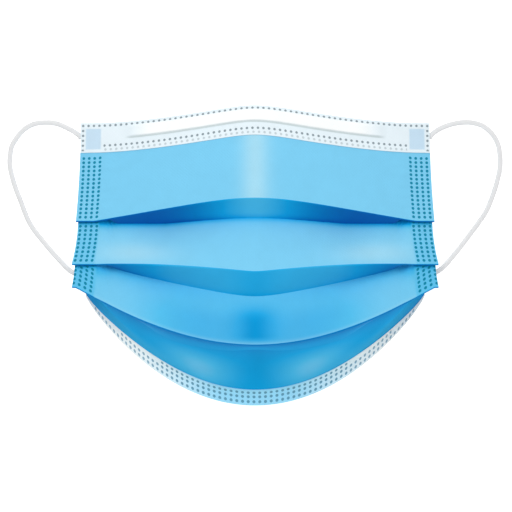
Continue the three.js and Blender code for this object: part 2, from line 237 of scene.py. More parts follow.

# Colours
# The cloth's own blue at 0, darkening into painted shade at 1
BLUE_INTO_PAINTED_SHADE = (
    (0.0, (0.185, 0.555, 0.80)),
    (0.25, (0.060, 0.460, 0.76)),
    (0.5, (0.004, 0.350, 0.71)),
    (0.75, (0.0, 0.215, 0.54)),
    (1.0, (0.0, 0.117, 0.43)),
)
# Painted highlight on the lit parts of the panels
PAINTED_HIGHLIGHT_BLUE = (0.34, 0.645, 0.80)
BLUE_DOT = (0.0, 0.21, 0.34)
INNER_WHITE = (0.80, 0.84, 0.86)
INNER_DOT = (0.55, 0.62, 0.68)
NOSE_WHITE = (0.72, 0.81, 0.86)
# Painted highlight on the raised pocket over the wire
POCKET_PAINTED_HIGHLIGHT = (0.87, 0.90, 0.90)
# Painted shadow in a line along the foot of the pocket
POCKET_PAINTED_SHADOW = (0.44, 0.52, 0.52)
PATCH_BLUE = (0.49, 0.66, 0.80)
NOSE_DOT = (0.22, 0.28, 0.31)
CHIN_WHITE = (0.97, 0.98, 0.93)
CHIN_BLUE = (0.32, 0.70, 0.90)
CHIN_DOT = (0.10, 0.29, 0.40)
ELASTIC_GREYS = ((0.66, 0.665, 0.675), (0.78, 0.785, 0.79))
WIRE_GREYS = ((0.78, 0.79, 0.78), (0.86, 0.87, 0.86))
# The line is the painted shadow below the wire's pocket
OPACITY = Row(dot=0.95, inner_dot=0.35, patch=0.9, line=0.75)
# Greys and bump heights of the pressed web, and how soft its dots are
WEB = Row(grey=0.93, fibre_grey=0.06, cloud_grey=0.08, bond_grey=-0.02,
          fibre=0.6, bond=-0.55, dot=-2.0, grid=-0.8)
BOND_PITCH = 1.3
GRID_PITCH = 1.0
BOND_EDGE = (0.35, 0.85)
DOT_EDGE = Row(outer=0.08, inner=0.1)
SPECULAR = 0.04


def mix(a, b, t):
    return a + (b - a) * t


def smooth(start, stop, value):
    t = np.clip((value - start) / (stop - start), 0, 1)
    return t * t * (3 - 2 * t)


def bell(value, middle, width):
    return np.exp(-(((value - middle) / width) ** 2))


def fade(distance, depth):
    """1 at a line and less with the distance from it."""
    return np.exp(-np.maximum(distance, 0) / depth)


def window(value, edges):
    """1 between the two middle edges, 0 outside the outer ones."""
    return smooth(edges[0], edges[1], value) * smooth(edges[3], edges[2], value)


def signed_power(value, power):
    return np.sign(value) * np.abs(value) ** power


def angles(count):
    return np.linspace(0, TURN, count, endpoint=False)


def run_length(points):
    """Length along a row of points, from its first one."""
    steps = np.linalg.norm(np.diff(points, axis=0), axis=1)
    return np.concatenate([[0], np.cumsum(steps)])


# The section of the cloth, at one share across the mask: a belt round rollers in the Y-Z plane


def rise(share, line):
    across = min(abs(share) / line.reach, 1)
    rim = math.hypot(1, line.crest)
    return ((rim - math.hypot(across, line.crest)) / (rim - line.crest)) ** line.power


def line_y(line, share):
    return mix(line.y_side, line.y_mid, rise(share, line))


def crease_part(share):
    return math.exp(-((share * NOSE_HALF / CREASE_HALF_WIDTH) ** 2))


def line_heights(share):
    """Height of the visible lines: the dome, the pleats stacked on it, and what the middle adds."""
    shared = DOME * (1 - share * share)
    inner = max(1 - (share / WELD_AT) ** 2, 0) ** INNER_FADE
    front = CAD_HALF_CLOTH - HALF_CLOTH
    stack = STACK_BASE
    stack_mid = STACK_BASE
    heights = []
    for i, line in enumerate(LINES[:-1]):
        if i > 0:
            above = LINES[i - 1]
            behind = PLEAT_STACK if i > 1 else 0
            stack += line.slope * (line_y(above, share) - line_y(line, share)) - behind
            stack_mid += line.slope * (above.y_mid - line.y_mid) - behind
        extra = line.z_mid + front - stack_mid - DOME
        heights.append(stack + shared + extra * inner + line.crease * crease_part(share))
    return heights


def pleat_depth(pleat, share):
    full = float(smooth(PLEAT_TAPER.side_at, PLEAT_TAPER.full_at, abs(share)))
    return pleat.depth * mix(PLEAT_TAPER.side, 1, full)


def open_angle(pleat, share, fold, along):
    """Angle between the panel and the strip behind its fold, 0 where the pleat is closed."""
    if hasattr(pleat, "below"):
        start = fold.y - 2 * FOLD_RADIUS * math.sin(along)
        target = line_y(pleat.below, share) + FOLD_RADIUS - HALF_CLOTH
        cosine = min((start - target) / pleat_depth(pleat, share), OPEN_COSINE_CAP)
        angle = along % TURN - math.acos(cosine)
    else:
        part = max(1 - (abs(share) / POCKET_OPEN_AT) ** 2, 0)
        angle = math.radians(mix(pleat.open_side, pleat.open_mid, part))
    return angle * float(smooth(WELD_AT, POCKET_OPEN_AT, abs(share)))


def heading(here, there):
    """Direction of the belt between two rollers."""
    dy = there.y - here.y
    dz = there.z - here.z
    return math.atan2(dz, dy) + math.asin((here.radius - there.radius) / math.hypot(dy, dz))


def rollers(share):
    """Nose edge, each fold and the hidden fold behind it, the bend at the floor, chin edge."""
    heights = line_heights(share)
    nose = line_y(LINES[0], share) - BAND_WRAP
    made = [Row(y=nose, z=heights[0], radius=0, half=NOSE_HALF, bow=0)]
    for i, pleat in enumerate(PLEATS):
        line = LINES[i + 1]
        fold = Row(
            y=line_y(line, share) + FOLD_RADIUS + HALF_CLOTH,
            z=heights[i + 1] - FOLD_RADIUS,
            radius=FOLD_RADIUS,
            half=line.half,
            bow=line.bow * (1 - share * share),
        )
        along = heading(made[-1], fold)
        turn = open_angle(pleat, share, fold, along)
        depth = pleat_depth(pleat, share)
        up = depth * math.cos(turn)
        back = depth * math.sin(turn) + 2 * FOLD_RADIUS
        hidden = Row(
            y=fold.y - up * math.cos(along) - back * math.sin(along),
            z=fold.z - up * math.sin(along) + back * math.cos(along),
            radius=-FOLD_RADIUS,
            half=pleat.half,
            bow=0,
        )
        made += [fold, hidden]
    chin = LINES[-1]
    end = line_y(chin, share) + BAND_WRAP
    made.append(Row(
        y=end + mix(REST_STRIP.mid, REST_STRIP.side, share * share),
        z=BAND_OUTER + REST_STRIP.bend,
        radius=-REST_STRIP.bend,
        half=chin.half,
        bow=chin.bow * (1 - share * share) + chin.crease * crease_part(share),
    ))
    made.append(Row(y=end, z=BAND_OUTER, radius=0, half=chin.half, bow=0))
    return made


def turn_round(radius, angle):
    """The angle, taken the way that the belt goes round a roller."""
    quarter = math.copysign(math.pi / 2, radius)
    rest = angle - quarter
    return quarter + math.atan2(math.sin(rest), math.cos(rest))


def section(share):
    """Middle of the cloth: rows of x, y, z, and the front normal's y and z, from nose to chin."""
    rolls = rollers(share)
    rows = []

    def add(y, z, angle, half):
        rows.append((share * half, y, z, math.sin(angle), -math.cos(angle)))

    leaving = heading(rolls[0], rolls[1])
    add(rolls[0].y, rolls[0].z, leaving, rolls[0].half)
    for i in range(1, len(rolls)):
        here, there = rolls[i - 1], rolls[i]
        ny, nz = math.sin(leaving), -math.cos(leaving)
        start = (here.y + here.radius * ny, here.z + here.radius * nz)
        stop = (there.y + there.radius * ny, there.z + there.radius * nz)
        length = math.dist(start, stop)
        count = RUN_ROWS[i - 1]
        for k in range(1, count):
            t = k / count
            swell = there.bow * 4 * t * (1 - t)
            turn = math.atan2(there.bow * 4 * (1 - 2 * t), length)
            add(
                mix(start[0], stop[0], t) + swell * ny,
                mix(start[1], stop[1], t) + swell * nz,
                leaving - turn,
                mix(here.half, there.half, t * t),
            )
        if i == len(rolls) - 1:
            add(stop[0], stop[1], leaving, there.half)
            break
        turned = turn_round(there.radius, heading(there, rolls[i + 1]) - leaving)
        for k in range(ARC_ROWS + 1):
            angle = leaving + turned * k / ARC_ROWS
            add(
                there.y + there.radius * math.sin(angle),
                there.z - there.radius * math.cos(angle),
                angle,
                there.half,
            )
        leaving += turned
    return np.array(rows)


def row_starts():
    """First row of each run, last row of its straight part, last row of the arc after it."""
    starts = []
    row = 0
    for i, count in enumerate(RUN_ROWS):
        last = row + count
        after = last + ARC_ROWS if i < len(RUN_ROWS) - 1 else last
        starts.append((row, last, after))
        row = after
    return starts


RUNS = row_starts()


def sections(shares):
    return np.array([section(share) for share in shares])


def lengths(grid):
    """Length along each section from its first row."""
    steps = np.hypot(np.diff(grid[..., 1], axis=1), np.diff(grid[..., 2], axis=1))
    return np.concatenate([np.zeros((len(grid), 1)), np.cumsum(steps, axis=1)], axis=1)


# Meshes


def add_to_scene(name, data, where=(0, 0, 0)):
    made = bpy.data.objects.new(name, data)
    made.location = where
    bpy.context.scene.collection.objects.link(made)
    return made


def make_object(name, verts, faces, uv=None, tone=None, sharp=None):
    """Object from points in millimetres. sharp numbers the layer of each point on a sharp edge."""
    mesh = bpy.data.meshes.new(name)
    mesh.from_pydata(np.asarray(verts) * MM, [], faces)
    mesh.polygons.foreach_set("use_smooth", np.ones(len(mesh.polygons), dtype=bool))
    if uv is not None:
        layer = mesh.uv_layers.new(name="cloth")
        corner = np.empty(len(mesh.loops), dtype=np.int32)
        mesh.loops.foreach_get("vertex_index", corner)
        layer.data.foreach_set("uv", np.asarray(uv, dtype=np.float32)[corner].ravel())
    if tone is not None:
        colours = mesh.attributes.new("tone", "FLOAT_COLOR", "POINT")
        colours.data.foreach_set("color", np.asarray(tone, dtype=np.float32).ravel())
    if sharp is not None:
        edges = np.empty(len(mesh.edges) * 2, dtype=np.int32)
        mesh.edges.foreach_get("vertices", edges)
        edges = edges.reshape(-1, 2)
        layer = sharp[edges[:, 0]]
        marked = (layer > 0) & (layer == sharp[edges[:, 1]])
        attribute = mesh.attributes.new("sharp_edge", "BOOLEAN", "EDGE")
        attribute.data.foreach_set("value", marked)
    mesh.update()
    return add_to_scene(name, mesh)


def quads(a, b, c, d):
    return np.stack([a, b, c, d], -1).reshape(-1, 4)


def shell(name, front, back, uv, tone):
    """Closed thin shell from two grids of points, columns along +X and rows from nose to chin.

    Its three painted channels hold painted shade and highlight, or marks. On the back, the third
    one is 1 all over.
    """
    columns, rows = front.shape[:2]
    index = np.arange(columns * rows).reshape(columns, rows)
    other = index + columns * rows
    over = quads(index[:-1, :-1], index[:-1, 1:], index[1:, 1:], index[1:, :-1])
    under = quads(other[:-1, :-1], other[1:, :-1], other[1:, 1:], other[:-1, 1:])
    walls = [
        quads(a[:-1], b[:-1], b[1:], a[1:])
        for a, b in (
            (index[0], other[0]),
            (index[:, -1], other[:, -1]),
            (index[-1][::-1], other[-1][::-1]),
            (index[:, 0][::-1], other[:, 0][::-1]),
        )
    ]
    faces = np.concatenate([over, under, *walls]).tolist()
    sharp = np.zeros(2 * columns * rows, dtype=np.int32)
    for layer, grid in ((1, index), (2, other)):
        for edge in (grid[0], grid[-1], grid[:, 0], grid[:, -1]):
            sharp[edge] = layer
    verts = np.concatenate([front.reshape(-1, 3), back.reshape(-1, 3)])
    inside = tone.copy()
    inside[..., 2] = 1
    both_uv = np.concatenate([uv.reshape(-1, 2)] * 2)
    both_light_and_marks = np.concatenate([tone.reshape(-1, 3), inside.reshape(-1, 3)])
    both_light_and_marks = np.concatenate([both_light_and_marks, np.ones((len(both_light_and_marks), 1))], 1)
    return make_object(name, verts, faces, both_uv, both_light_and_marks, sharp)


def tube_mesh(name, rings, uv=None):
    """Closed tube through rings of points."""
    count, size = rings.shape[:2]
    index = np.arange(count * size).reshape(count, size)
    turned = np.roll(index, -1, 1)
    sides = quads(index[:-1], turned[:-1], turned[1:], index[1:]).tolist()
    faces = sides + [index[0][::-1].tolist(), index[-1].tolist()]
    flat_uv = None if uv is None else uv.reshape(-1, 2)
    return make_object(name, rings.reshape(-1, 3), faces, flat_uv)


def finish_piece(piece, material, node):
    piece.data.materials.append(material)
    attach(piece, "root")
    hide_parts(node)


# Materials


def set_inputs(node, values):
    for name, value in values.items():
        node.inputs[name].default_value = value


class Graph:
    """Node graph of one material, whose values are numbers, colours or sockets."""

    def __init__(self, name, roughness, sheen=0.0):
        self.material = bpy.data.materials.new(name)
        self.material.use_nodes = True
        self.nodes = self.material.node_tree.nodes
        self.links = self.material.node_tree.links
        self.shader = self.nodes["Principled BSDF"]
        values = {"Roughness": roughness, "Sheen Weight": sheen, "Specular IOR Level": SPECULAR}
        set_inputs(self.shader, values)

    def put(self, value, socket):
        if isinstance(value, bpy.types.NodeSocket):
            self.links.new(value, socket)
        else:
            socket.default_value = value

    def math(self, operation, a, b=0.0):
        node = self.nodes.new("ShaderNodeMath")
        node.operation = operation
        self.put(a, node.inputs[0])
        self.put(b, node.inputs[1])
        return node.outputs[0]

    def total(self, first, *rest):
        for value in rest:
            first = self.math("ADD", first, value)
        return first

    def times(self, first, *rest):
        for value in rest:
            first = self.math("MULTIPLY", first, value)
        return first

    def minus(self, a, b):
        return self.math("SUBTRACT", a, b)

    def off_row(self, step, pitch):
        """Distance to the nearest of evenly spaced rows, from the place in pitches."""
        return self.times(self.minus(step, self.math("ROUND", step)), pitch)

    def span(self, value, start, stop, low=0.0, high=1.0):
        node = self.nodes.new("ShaderNodeMapRange")
        node.interpolation_type = "SMOOTHSTEP"
        for socket, given in zip(node.inputs, (value, start, stop, low, high)):
            self.put(given, socket)
        return node.outputs[0]

    def colour(self, factor, a, b):
        node = self.nodes.new("ShaderNodeMix")
        node.data_type = "RGBA"
        self.put(factor, node.inputs[0])
        for value, socket in ((a, node.inputs[6]), (b, node.inputs[7])):
            self.put(value if isinstance(value, bpy.types.NodeSocket) else (*value, 1), socket)
        return node.outputs[2]

    def ramp(self, factor, stops):
        node = self.nodes.new("ShaderNodeValToRGB")
        made = node.color_ramp.elements
        while len(made) < len(stops):
            made.new(0.5)
        for element, (at, colour) in zip(made, stops):
            element.position = at
            element.color = (*colour, 1)
        self.put(factor, node.inputs[0])
        return node.outputs[0]

    def shade(self, colour, factor):
        """The colour times a grey factor."""
        grey = self.nodes.new("ShaderNodeVectorMath")
        grey.operation = "SCALE"
        self.put(colour, grey.inputs[0])
        self.put(factor, grey.inputs[3])
        return grey.outputs[0]

    def noise(self, scale, detail, stretch=(1, 1, 1)):
        where = self.nodes.new("ShaderNodeTexCoord").outputs["Object"]
        mapping = self.nodes.new("ShaderNodeMapping")
        set_inputs(mapping, {"Scale": stretch})
        self.links.new(where, mapping.inputs[0])
        node = self.nodes.new("ShaderNodeTexNoise")
        set_inputs(node, {"Scale": scale, "Detail": detail})
        self.links.new(mapping.outputs[0], node.inputs["Vector"])
        return node.outputs["Fac"]

    def uv(self):
        where = self.nodes.new("ShaderNodeUVMap")
        where.uv_map = "cloth"
        split = self.nodes.new("ShaderNodeSeparateXYZ")
        self.links.new(where.outputs[0], split.inputs[0])
        return split.outputs[0], split.outputs[1]

    def tone(self):
        """The three painted channels."""
        painted = self.nodes.new("ShaderNodeAttribute")
        painted.attribute_name = "tone"
        split = self.nodes.new("ShaderNodeSeparateColor")
        self.links.new(painted.outputs["Color"], split.inputs[0])
        return split.outputs[0], split.outputs[1], split.outputs[2]

    def finish(self, colour, height, strength, distance):
        self.put(colour, self.shader.inputs["Base Color"])
        bump = self.nodes.new("ShaderNodeBump")
        set_inputs(bump, {"Strength": strength, "Distance": distance})
        self.put(height, bump.inputs["Height"])
        self.links.new(bump.outputs[0], self.shader.inputs["Normal"])
        return self.material

    def dot(self, across, along, radius):
        """1 inside a round dot, from the distances to its middle."""
        square = self.total(self.times(across, across), self.times(along, along))
        outer, inner = radius + DOT_EDGE.outer, radius - DOT_EDGE.inner
        return self.span(self.math("SQRT", square), outer, inner)

    def lattice(self, x, y, pitch):
        """Staggered point bonds of the pressed web."""
        turn = TURN / pitch
        across = self.math("COSINE", self.times(x, turn))
        along = self.math("COSINE", self.times(y, turn))
        return self.span(self.times(across, along), *BOND_EDGE)


def nonwoven(graph, x, y):
    """Height and grey factor of the fibres and point bonds, from millimetres across and along."""
    bonds = graph.lattice(x, y, BOND_PITCH)
    fibres = graph.noise(scale=2600, detail=3.0, stretch=(1.0, 0.35, 1.0))
    clouds = graph.noise(scale=160, detail=3.0)
    height = graph.total(graph.times(fibres, WEB.fibre), graph.times(bonds, WEB.bond))
    factor = graph.total(
        WEB.grey,
        graph.times(fibres, WEB.fibre_grey),
        graph.times(clouds, WEB.cloud_grey),
        graph.times(bonds, WEB.bond_grey),
    )
    return height, factor


def side_dots(graph, x, y, panel):
    """1 on the weld dots down the sides of the body, as weld_dots presses them."""
    share = graph.math("ABSOLUTE", graph.times(x, 1 / NOSE_HALF))
    first = graph.total(graph.times(panel, DOTS.step), DOTS.first)
    place = graph.times(graph.minus(first, share), 1 / DOTS.pitch)
    column = graph.math("MAXIMUM", graph.math("ROUND", place), 0)
    column = graph.math("MINIMUM", column, DOTS.columns - 1)
    across = graph.times(graph.minus(place, column), DOTS.pitch * DOTS.share)
    step = graph.times(y, 1 / DOTS.row)
    row = graph.math("MAXIMUM", graph.math("ROUND", step), 1)
    along = graph.times(graph.minus(step, row), DOTS.row)
    return graph.times(
        graph.dot(across, along, DOTS.radius),
        graph.math("LESS_THAN", row, DOTS.last_row + 0.5),
        graph.math("LESS_THAN", panel, len(DOT_ROWS) - 0.5),
    )


def blue_cloth():
    graph = Graph("blue_cloth", roughness=0.72, sheen=0.02)
    u, v = graph.uv()
    painted_shade, painted_highlight, inside = graph.tone()
    x = graph.times(u, UV_UNIT)
    # v is the panel's number plus the distance up from its fold, which is below 0 behind the fold
    panel = graph.math("FLOOR", graph.total(v, BEHIND_MOST))
    y = graph.times(graph.minus(v, panel), UV_UNIT)
    height, factor = nonwoven(graph, x, y)
    dots = side_dots(graph, x, y, panel)

    # painted shade in and under the folds deepens the blue, and painted highlight pales it
    colour = graph.ramp(painted_shade, BLUE_INTO_PAINTED_SHADE)
    colour = graph.colour(painted_highlight, colour, PAINTED_HIGHLIGHT_BLUE)
    colour = graph.colour(graph.times(dots, OPACITY.dot), colour, BLUE_DOT)
    white = graph.colour(graph.times(dots, OPACITY.inner_dot), INNER_WHITE, INNER_DOT)
    colour = graph.colour(inside, colour, white)
    height = graph.total(height, graph.times(dots, WEB.dot))
    return graph.finish(graph.shade(colour, factor), height, strength=0.35, distance=0.00012)


def strip_graph(name, rows, radius):
    """Graph of a white strip, millimetres across and from its edge, web, and rows of weld dots."""
    graph = Graph(name, roughness=0.7, sheen=0.12)
    u, v = graph.uv()
    x, y = graph.times(u, UV_UNIT), graph.times(v, UV_UNIT)
    dots = 0.0
    for along_at, reach, pitch, shift, strength in rows:
        across = graph.off_row(graph.total(graph.times(x, 1 / pitch), shift), pitch)
        one = graph.dot(across, graph.minus(y, along_at), radius)
        within = graph.math("LESS_THAN", graph.math("ABSOLUTE", x), reach)
        dots = graph.math("MAXIMUM", graph.times(one, within, strength), dots)
    height, factor = nonwoven(graph, x, y)
    return graph, x, y, height, factor, dots


def nose_cloth():
    graph, x, y, height, factor, dots = strip_graph("nose_cloth", NOSE_ROWS, NOSE_DOT_RADIUS)
    pocket_highlight, patch, line = graph.tone()
    step = graph.times(graph.minus(y, NOSE_ROWS[0][0]), 1 / NOSE_COLUMN.pitch)
    side = graph.times(
        graph.dot(
            graph.minus(graph.math("ABSOLUTE", x), NOSE_COLUMN.x),
            graph.off_row(step, NOSE_COLUMN.pitch),
            NOSE_DOT_RADIUS,
        ),
        graph.math("LESS_THAN", y, NOSE_COLUMN.high),
        graph.math("GREATER_THAN", y, NOSE_COLUMN.low),
    )
    dots = graph.math("MAXIMUM", dots, side)
    # painted highlight on the raised pocket over the wire, and a painted shadow line below it
    colour = graph.colour(pocket_highlight, NOSE_WHITE, POCKET_PAINTED_HIGHLIGHT)
    colour = graph.colour(graph.times(line, OPACITY.line), colour, POCKET_PAINTED_SHADOW)
    colour = graph.colour(graph.times(patch, OPACITY.patch), colour, PATCH_BLUE)
    colour = graph.colour(graph.times(dots, OPACITY.dot), colour, NOSE_DOT)
    grid = graph.times(graph.lattice(x, y, GRID_PITCH), patch)
    height = graph.total(height, graph.times(dots, WEB.dot), graph.times(grid, WEB.grid))
    return graph.finish(graph.shade(colour, factor), height, strength=0.3, distance=0.00012)


def chin_cloth():
    graph, _, _, height, factor, dots = strip_graph("chin_cloth", CHIN_ROWS, CHIN_DOT_RADIUS)
    middle = graph.tone()[0]
    colour = graph.colour(middle, CHIN_WHITE, CHIN_BLUE)
    # the dots are fainter towards the sides
    shown = graph.times(dots, graph.span(middle, 0.0, 0.7, low=0.72, high=0.9))
    colour = graph.colour(shown, colour, CHIN_DOT)
    height = graph.total(height, graph.times(dots, WEB.dot))
    return graph.finish(graph.shade(colour, factor), height, strength=0.3, distance=0.00012)


def elastic_cloth():
    graph = Graph("elastic_knit", roughness=0.8, sheen=0.2)
    u, v = graph.uv()
    along = graph.times(v, TURN / KNIT_LOOK.pitch)
    ribs = graph.times(*(
        graph.math("SINE", graph.total(graph.times(u, way * KNIT_LOOK.strands * TURN), along))
        for way in (1, -1)
    ))
    fuzz = graph.noise(scale=4000, detail=3.0)
    colour = graph.colour(graph.span(ribs, -0.9, 0.7), *ELASTIC_GREYS)
    colour = graph.shade(colour, graph.total(0.94, graph.times(fuzz, 0.12)))
    return graph.finish(colour, graph.total(ribs, fuzz), strength=0.4, distance=0.0001)


def coated_wire():
    graph = Graph("wire_coat", roughness=0.45)
    grain = graph.noise(scale=1200, detail=2.0, stretch=(0.1, 1, 1))
    colour = graph.colour(grain, *WIRE_GREYS)
    return graph.finish(colour, grain, strength=0.2, distance=0.00005)


# Pleated body


def weld_dots(share, v, panel, rows):
    """Depth of the pressed dots, 0 to 1."""
    place = (DOTS.first + DOTS.step * panel - np.abs(share)) / DOTS.pitch
    column = np.clip(np.round(place), 0, DOTS.columns - 1)
    across = (place - column) * DOTS.pitch * DOTS.share
    row = np.clip(np.round(v / DOTS.row), 1, rows)
    reach = np.hypot(across, v - row * DOTS.row)
    return 1 - smooth(DOTS.radius - DOTS.inner, DOTS.radius + DOTS.outer, reach)


def body_shares():
    middle = np.linspace(0, BODY_COLUMNS.weld_from, BODY_COLUMNS.middle // 2 + 1)[:-1]
    weld = np.linspace(BODY_COLUMNS.weld_from, 1, BODY_COLUMNS.weld)
    half = np.concatenate([middle, weld])
    return np.concatenate([-half[:0:-1], half])


def body_layout(along):
    """Each row's panel, whether it is behind a fold, and the millimetres up from the fold below."""
    panel = np.zeros(along.shape[1], dtype=int)
    hidden = np.zeros(along.shape[1], dtype=bool)
    v = np.zeros(along.shape)
    for k in range(len(PLEATS)):
        first, last, _ = RUNS[2 * k]
        stop = RUNS[2 * k + 1][2]
        panel[first:stop] = k
        hidden[last + 1:stop] = True
        v[:, first:stop] = along[:, last:last + 1] + FOLD_REACH - along[:, first:stop]
    first = RUNS[2 * len(PLEATS)][0]
    panel[first:] = len(PLEATS)
    v[:, first:] = along[:, -1:] - along[:, first:]
    return panel, hidden, v


def body_waves(x, share, along, v):
    """Shallow waves of the cloth, and puckers beside the weld."""
    wave = np.zeros(along.shape)
    for across_rate, along_rate, phase, size in WAVES:
        wave += size * np.sin(across_rate * x + along_rate * along + phase)
    wander = PUCKER.wander * np.sin(x / PUCKER.every)
    pucker = PUCKER.height * bell(share, PUCKER.at, PUCKER.spread)
    pucker = pucker * np.sin(TURN * along / PUCKER.pitch + wander)
    clear = smooth(*WAVE_FROM.nose, along) * smooth(*WAVE_FROM.chin, along[:, -1:] - along)
    wave = wave * smooth(*WAVE_FROM.side, share) + pucker * smooth(*WAVE_FROM.fold, v)
    return wave * clear


def panel_painted_light(panel, x, drop, v):
    """Painted shade and painted highlight, 0 to 1, of a panel that shows."""
    across = np.abs(x)
    if panel == 0:
        # lit along the crease in the middle
        return 0 * x, bell(x, 0, CREASE_PAINTED_HIGHLIGHT)
    if panel == 1:
        # shade under the fold above, and a lit spot low down on each side
        tone = SECOND_PANEL_PAINTED_LIGHT
        painted_shade = mix(*tone.shade, smooth(*tone.shade_x, across)) * fade(drop, tone.depth)
        return painted_shade, tone.spot * bell(across, *tone.spot_x) * bell(v, *tone.spot_v)
    if panel == 2:
        # painted shade: darker in the middle, lower down beside it, and under the fold above at the
        # sides
        tone = THIRD_PANEL_PAINTED_LIGHT
        painted_shade = mix(*tone.shade, smooth(*tone.shade_x, across))
        painted_shade = painted_shade + tone.low * bell(across, *tone.low_x) * smooth(*tone.low_drop, drop)
        under = smooth(*tone.under_x, across) * fade(drop, tone.depth)
        painted_shade = painted_shade + tone.under * under
        # painted shade in a streak down the crease, with a soft one round it
        streak = bell(x, 0, tone.streak_x) * smooth(*tone.streak_drop, drop)
        streak = streak * smooth(*tone.streak_v, v)
        soft = bell(x, 0, tone.soft_x) * smooth(*tone.soft_drop, drop)
        painted_shade = painted_shade + tone.streak * streak + tone.soft * soft
        # lit in the middle but not on the streak, and along the next fold
        lit = tone.lit + tone.lit_middle * smooth(*tone.lit_x, across)
        return painted_shade, lit * (1 - streak) + tone.rim * smooth(*tone.rim_v, v)
    # the chin panel lies in shade, less so on its two lobes and low down at the sides
    tone = CHIN_PANEL_PAINTED_SHADE
    lobe = bell(across, *tone.lobe_x) * bell(v, *tone.lobe_v)
    low = smooth(*tone.low_x, across) * smooth(*tone.low_v, v)
    painted_shade = tone.shade - tone.lobe * lobe - tone.low * low
    return painted_shade + tone.under * fade(drop, tone.depth), 0 * x


def hidden_painted_shade(x, y, along, starts):
    """Painted shade, 0 to 1, of the strips behind the three folds, above the lines of the next
    panels.
    """
    across = np.abs(x)
    one, two, three = HIDDEN_STRIP_PAINTED_SHADE
    foot = [bell(y, start, FOOT_DEPTH) for start in starts]
    first = RUNS[2 * len(PLEATS) - 1][0]
    down = (along - along[:, first:first + 1]) / PLEATS[-1].depth
    side = one.side * smooth(*one.side_x, across) ** one.power
    middle = two.middle * bell(x, 0, two.middle_x)
    return (
        one.shade + side + one.foot * foot[0],
        two.shade + middle + two.side * smooth(*two.side_x, across) + two.foot * foot[1],
        three.shade + three.top * (1 - np.clip(down, 0, 1)) ** 2,
    )


def body_painted_light(shares, x, y, along, v, panel, hidden):
    """Painted channels: painted shade inside the folds, painted highlight on what is lit, and the
    inner face.
    """

    def line_row(line):
        return np.array([line_y(line, share) for share in shares])[:, None]

    painted_shade = np.zeros(along.shape)
    painted_highlight = np.zeros(along.shape)
    weld = smooth(WELD_AT, WELD_PAINTED_SHADE_AT, np.abs(shares))[:, None]
    lines = [line_row(line) for line in LINES]
    starts = [line_row(pleat.below) for pleat in PLEATS if hasattr(pleat, "below")]
    for k, above in enumerate((lines[0], *starts, lines[3])):
        here = (panel == k) & ~hidden
        drop = above - y[:, here]
        painted_shade[:, here], painted_highlight[:, here] = panel_painted_light(k, x[:, here], drop, v[:, here])
        if k in (1, 2):
            # on the weld the pleats are pressed flat, with painted shade over them and a painted
            # shadow rim under each fold
            rim = fade(lines[k] - y[:, here], WELD_PAINTED_SHADE.depth)
            pressed = WELD_PAINTED_SHADE.panel * k + WELD_PAINTED_SHADE.rim * rim
            painted_shade[:, here] = mix(painted_shade[:, here], pressed, weld)
            painted_highlight[:, here] *= 1 - weld
    for k, shade in enumerate(hidden_painted_shade(x, y, along, starts)):
        here = (panel == k) & hidden
        painted_shade[:, here] = shade[:, here]
    return np.stack([np.clip(painted_shade, 0, 1), np.clip(painted_highlight, 0, 1), np.zeros(painted_shade.shape)], -1)


def pleated_body():
    shares = body_shares()
    grid = sections(shares)
    along = lengths(grid)
    share = shares[:, None] * np.ones(grid.shape[1])
    x = share * NOSE_HALF
    panel, hidden, v = body_layout(along)

    dimple = np.zeros(along.shape)
    for k, count in enumerate(DOT_ROWS):
        here = (panel == k) & ~hidden
        dimple[:, here] = weld_dots(share[:, here], v[:, here], k, count)
    out = DOTS.depth * dimple

    # the waves go straight up, so that the folds keep their form
    wave = body_waves(x, np.abs(share), along, v)
    normal = np.stack([np.zeros(along.shape), grid[..., 3], grid[..., 4]], -1)
    middle = grid[..., :3] + np.array([0, 0, 1]) * wave[..., None]
    front = middle + normal * (HALF_CLOTH - out)[..., None]
    back = middle - normal * (HALF_CLOTH - INNER_DENT * out)[..., None]

    tone = body_painted_light(shares, x, grid[..., 1], along, v, panel, hidden)
    uv = np.stack([x / UV_UNIT, panel[None, :] + v / UV_UNIT], -1)
    return shell("cloth_body", front, back, uv, tone)


# White strips, wire and tabs, which follow the body


def places(grid, spots):
    """Points on each section, from millimetres along from the fold's outside and in front."""
    along = lengths(grid)
    spots = np.asarray(spots, dtype=float)
    if spots.ndim == 2:
        spots = np.broadcast_to(spots, (len(grid), *spots.shape))
    made = np.empty((*spots.shape[:2], 3))
    for i, (column, s) in enumerate(zip(grid, along)):
        at = spots[i, :, 0] - BAND_WRAP
        inside = np.maximum(at, 0)
        x, y, z, ny, nz = (np.interp(inside, s, column[:, k]) for k in range(5))
        short = at - inside
        dy, dz = (column[1, 1:3] - column[0, 1:3]) / s[1]
        out = spots[i, :, 1]
        made[i] = np.stack([x, y + short * dy + out * ny, z + short * dz + out * nz], -1)
    return made


def band_paths(band, front):
    """Outside and inside of a strip folded over an edge, as (along, in front)."""
    turns = np.radians(np.linspace(90, -90, BAND_TURN_ROWS))[1:-1]
    flap = np.linspace(front, BAND_WRAP, band.rows[0])
    tail = np.linspace(BAND_WRAP, band.back, band.rows[1])
    outside = [(a, BAND_OUTER) for a in flap]
    outside += [(BAND_WRAP * (1 - math.cos(t)), BAND_OUTER * math.sin(t)) for t in turns]
    outside += [(a, -BAND_OUTER) for a in tail]
    inside = [(a, BAND_INNER) for a in flap]
    inside += [(BAND_CLOTH, BAND_INNER * math.sin(t)) for t in turns]
    inside += [(a, -BAND_INNER) for a in tail]
    return np.array(outside), np.array(inside)


def band_uv(x, y, out):
    return np.stack([x / UV_UNIT, np.where(out > 0, y, -y) / UV_UNIT], -1)


def dent(across, along):
    return 1 - smooth(DENT.full, DENT.gone, np.hypot(across, along))


